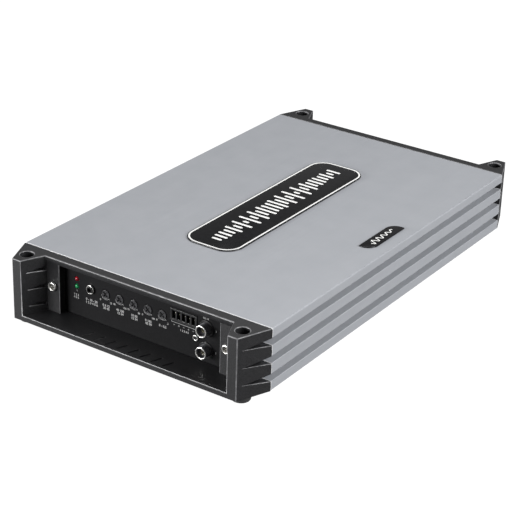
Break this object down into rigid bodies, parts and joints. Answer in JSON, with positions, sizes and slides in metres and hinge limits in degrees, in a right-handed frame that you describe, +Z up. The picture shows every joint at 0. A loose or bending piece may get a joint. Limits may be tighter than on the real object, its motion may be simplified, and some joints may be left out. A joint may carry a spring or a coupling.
{
  "type": "car amplifier",
  "caption": "Car audio power amplifier: finned aluminium case, moulded end caps with screw ears, recessed control panel, terminals and fuses.",
  "frame": {"origin": "centre of the footprint, on the surface that the four feet stand on", "axes": "+Z up out of the case's top; +Y along the case from the control panel towards the power terminals; +X to the right when facing the control panel"},
  "size_m": [0.2, 0.352, 0.049],
  "materials": {
    "anodised_aluminium": "extruded, lightly brushed and clear anodised, satin",
    "black_nylon": "moulded, fine spark texture",
    "panel_paint": "satin black paint with printed legends",
    "badge_lacquer": "black lacquer with a white printed border",
    "zinc_steel": "zinc plated sheet",
    "nickel": "bright nickel plate",
    "dark_nickel": "black nickel plate with a bright rim",
    "rubber": "matt moulded rubber",
    "red_lens": "tinted clear epoxy",
    "green_lens": "tinted clear epoxy",
    "black_polymer": "smooth moulded polyamide",
    "orange_fuse": "tinted clear fuse plastic",
    "board_laminate": "glass-fibre laminate with green solder mask",
    "enamelled_copper": "enamelled winding wire",
    "capacitor_sleeve": "shrink sleeve"
  },
  "bodies": {
    "root": {"heatsink_shell": "anodised_aluminium", "bottom_plate": "zinc_steel", "front_end_cap": "black_nylon", "rear_end_cap": "black_nylon", "front_panel": "panel_paint", "rear_panel": "panel_paint", "name_plate": "badge_lacquer", "series_plate": "badge_lacquer", "power_led": "green_lens", "protect_led": "red_lens", "remote_jack": "black_polymer", "remote_jack_nut": "nickel", "input_socket": "black_polymer", "phono_housing": "black_polymer", "phono_shell_left": "dark_nickel", "phono_shell_right": "dark_nickel", "phono_insert_left": "black_polymer", "phono_insert_right": "black_polymer", "phono_rivet": "nickel", "power_terminal_block": "black_polymer", "speaker_terminal_block": "black_polymer", "fuse_holder": "black_polymer", "main_board": "board_laminate", "control_board": "board_laminate", "power_transformer": "enamelled_copper", "output_inductor": "enamelled_copper", "capacitor_1": "capacitor_sleeve", "capacitor_2": "capacitor_sleeve", "capacitor_3": "capacitor_sleeve", "transistor_clamp_bar": "zinc_steel", "foot_front_left": "rubber", "end_cap_screw_front_left": "nickel", "foot_front_right": "rubber", "end_cap_screw_front_right": "nickel", "foot_rear_left": "rubber", "end_cap_screw_rear_left": "nickel", "foot_rear_right": "rubber", "end_cap_screw_rear_right": "nickel", "bass_boost_pot": "black_polymer", "low_pass_pot": "black_polymer", "subsonic_pot": "black_polymer", "phase_pot": "black_polymer", "level_pot": "black_polymer"},
    "bass_boost_shaft": {"bass_boost_shaft": "black_polymer"},
    "low_pass_shaft": {"low_pass_shaft": "black_polymer"},
    "subsonic_shaft": {"subsonic_shaft": "black_polymer"},
    "phase_shaft": {"phase_shaft": "black_polymer"},
    "level_shaft": {"level_shaft": "black_polymer"},
    "battery_clamp_pad": {"battery_clamp_pad": "nickel"},
    "battery_clamp_screw": {"battery_clamp_screw": "nickel"},
    "ground_clamp_pad": {"ground_clamp_pad": "nickel"},
    "ground_clamp_screw": {"ground_clamp_screw": "nickel"},
    "remote_clamp_pad": {"remote_clamp_pad": "nickel"},
    "remote_clamp_screw": {"remote_clamp_screw": "nickel"},
    "speaker_plus_clamp_pad": {"speaker_plus_clamp_pad": "nickel"},
    "speaker_plus_clamp_screw": {"speaker_plus_clamp_screw": "nickel"},
    "speaker_minus_clamp_pad": {"speaker_minus_clamp_pad": "nickel"},
    "speaker_minus_clamp_screw": {"speaker_minus_clamp_screw": "nickel"},
    "blade_fuse_1": {"blade_fuse_1": "orange_fuse"},
    "blade_fuse_2": {"blade_fuse_2": "orange_fuse"}
  },
  "joints": [
    {"name": "bass_boost_turn", "type": "hinge", "parent": "root", "child": "bass_boost_shaft", "pos_m": [-0.0307, -0.1531, 0.0306], "axis": [0, -1, 0], "range_deg": [-140, 140]},
    {"name": "low_pass_turn", "type": "hinge", "parent": "root", "child": "low_pass_shaft", "pos_m": [-0.01907, -0.1531, 0.0306], "axis": [0, -1, 0], "range_deg": [-140, 140]},
    {"name": "subsonic_turn", "type": "hinge", "parent": "root", "child": "subsonic_shaft", "pos_m": [-0.00744, -0.1531, 0.0306], "axis": [0, -1, 0], "range_deg": [-140, 140]},
    {"name": "phase_turn", "type": "hinge", "parent": "root", "child": "phase_shaft", "pos_m": [0.00419, -0.1531, 0.0306], "axis": [0, -1, 0], "range_deg": [-140, 140]},
    {"name": "level_turn", "type": "hinge", "parent": "root", "child": "level_shaft", "pos_m": [0.01582, -0.1531, 0.0306], "axis": [0, -1, 0], "range_deg": [-140, 140]},
    {"name": "battery_clamp_travel", "type": "slide", "parent": "root", "child": "battery_clamp_pad", "axis": [0, 0, -1], "range_m": [0, 0.006]},
    {"name": "battery_clamp_turn", "type": "hinge", "parent": "battery_clamp_pad", "child": "battery_clamp_screw", "pos_m": [-0.0475, 0.1655, 0.0334], "axis": [0, 0, -1], "range_deg": [0, 2700]},
    {"name": "ground_clamp_travel", "type": "slide", "parent": "root", "child": "ground_clamp_pad", "axis": [0, 0, -1], "range_m": [0, 0.006]},
    {"name": "ground_clamp_turn", "type": "hinge", "parent": "ground_clamp_pad", "child": "ground_clamp_screw", "pos_m": [-0.0355, 0.1655, 0.0334], "axis": [0, 0, -1], "range_deg": [0, 2700]},
    {"name": "remote_clamp_travel", "type": "slide", "parent": "root", "child": "remote_clamp_pad", "axis": [0, 0, -1], "range_m": [0, 0.006]},
    {"name": "remote_clamp_turn", "type": "hinge", "parent": "remote_clamp_pad", "child": "remote_clamp_screw", "pos_m": [-0.0255, 0.1655, 0.0334], "axis": [0, 0, -1], "range_deg": [0, 2700]},
    {"name": "speaker_plus_clamp_travel", "type": "slide", "parent": "root", "child": "speaker_plus_clamp_pad", "axis": [0, 0, -1], "range_m": [0, 0.006]},
    {"name": "speaker_plus_clamp_turn", "type": "hinge", "parent": "speaker_plus_clamp_pad", "child": "speaker_plus_clamp_screw", "pos_m": [0.036, 0.1655, 0.0334], "axis": [0, 0, -1], "range_deg": [0, 2700]},
    {"name": "speaker_minus_clamp_travel", "type": "slide", "parent": "root", "child": "speaker_minus_clamp_pad", "axis": [0, 0, -1], "range_m": [0, 0.006]},
    {"name": "speaker_minus_clamp_turn", "type": "hinge", "parent": "speaker_minus_clamp_pad", "child": "speaker_minus_clamp_screw", "pos_m": [0.046, 0.1655, 0.0334], "axis": [0, 0, -1], "range_deg": [0, 2700]},
    {"name": "fuse_1_pull", "type": "slide", "parent": "root", "child": "blade_fuse_1", "axis": [0, 1, 0], "range_m": [0, 0.008]},
    {"name": "fuse_2_pull", "type": "slide", "parent": "root", "child": "blade_fuse_2", "axis": [0, 1, 0], "range_m": [0, 0.008]}
  ],
  "couplings": [
    {"joint": "battery_clamp_turn", "follows": "battery_clamp_travel", "rad_per_m": 7853.9},
    {"joint": "ground_clamp_turn", "follows": "ground_clamp_travel", "rad_per_m": 7853.9},
    {"joint": "remote_clamp_turn", "follows": "remote_clamp_travel", "rad_per_m": 7853.9},
    {"joint": "speaker_plus_clamp_turn", "follows": "speaker_plus_clamp_travel", "rad_per_m": 7853.9},
    {"joint": "speaker_minus_clamp_turn", "follows": "speaker_minus_clamp_travel", "rad_per_m": 7853.9}
  ]
}
